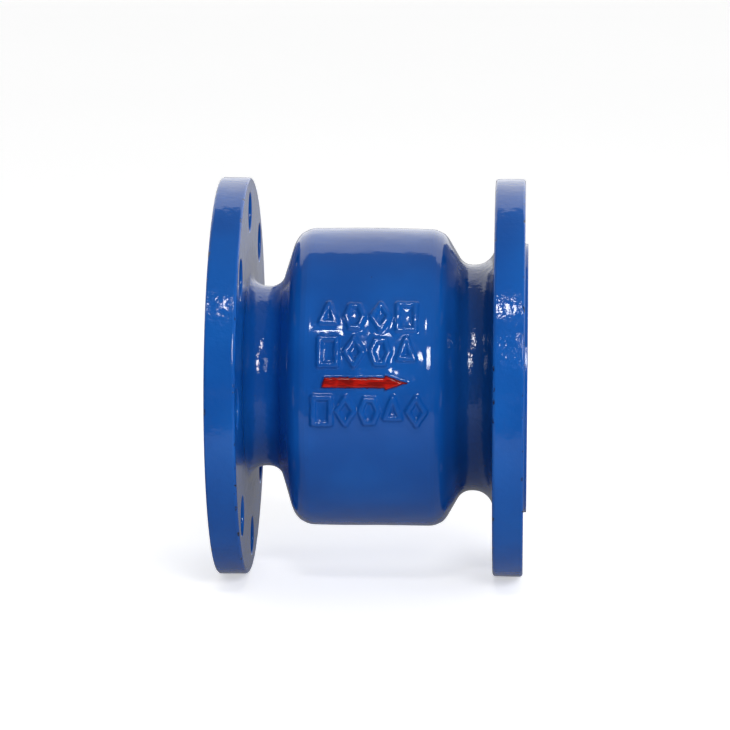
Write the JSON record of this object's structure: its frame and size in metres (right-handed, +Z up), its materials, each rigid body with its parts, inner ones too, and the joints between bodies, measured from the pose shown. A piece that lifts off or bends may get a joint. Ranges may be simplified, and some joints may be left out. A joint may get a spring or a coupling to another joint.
{
  "type": "flanged check valve",
  "caption": "Flanged axial check valve: a spring-loaded disc lifts off a seat ring inside a round cast body to let flow pass one way only.",
  "frame": {"origin": "on the flow axis, halfway between the two flange faces", "axes": "+X along the flow, from the inlet flange to the outlet flange; +Z up; the cast marks are on the -Y side"},
  "size_m": [0.15, 0.1914, 0.1914],
  "materials": {
    "blue_epoxy": "glossy epoxy powder coat over cast iron",
    "bronze": "machined",
    "stainless": "machined",
    "spring_steel": "drawn wire",
    "black_rubber": "moulded"
  },
  "bodies": {
    "housing": {"body": "blue_epoxy", "seat_ring": "bronze", "seat_o_ring": "black_rubber", "seat_screw_1": "stainless", "seat_screw_2": "stainless", "seat_screw_3": "stainless", "seat_screw_4": "stainless", "inlet_bush": "bronze", "outlet_guide": "blue_epoxy", "outlet_bush": "bronze", "retaining_ring": "spring_steel", "spring": "spring_steel"},
    "disc_assembly": {"disc": "stainless", "disc_seal": "black_rubber", "seal_retainer": "stainless", "retainer_screw_1": "stainless", "retainer_screw_2": "stainless", "retainer_screw_3": "stainless", "retainer_screw_4": "stainless", "stem": "stainless", "stem_washer": "stainless", "stem_nut": "stainless"}
  },
  "joints": [
    {"name": "disc_slide", "type": "slide", "parent": "housing", "child": "disc_assembly", "axis": [1, 0, 0], "range_m": [0, 0.018], "stiffness_N_per_m": 1200, "springref_m": -0.0125, "deforming": ["spring"]}
  ]
}
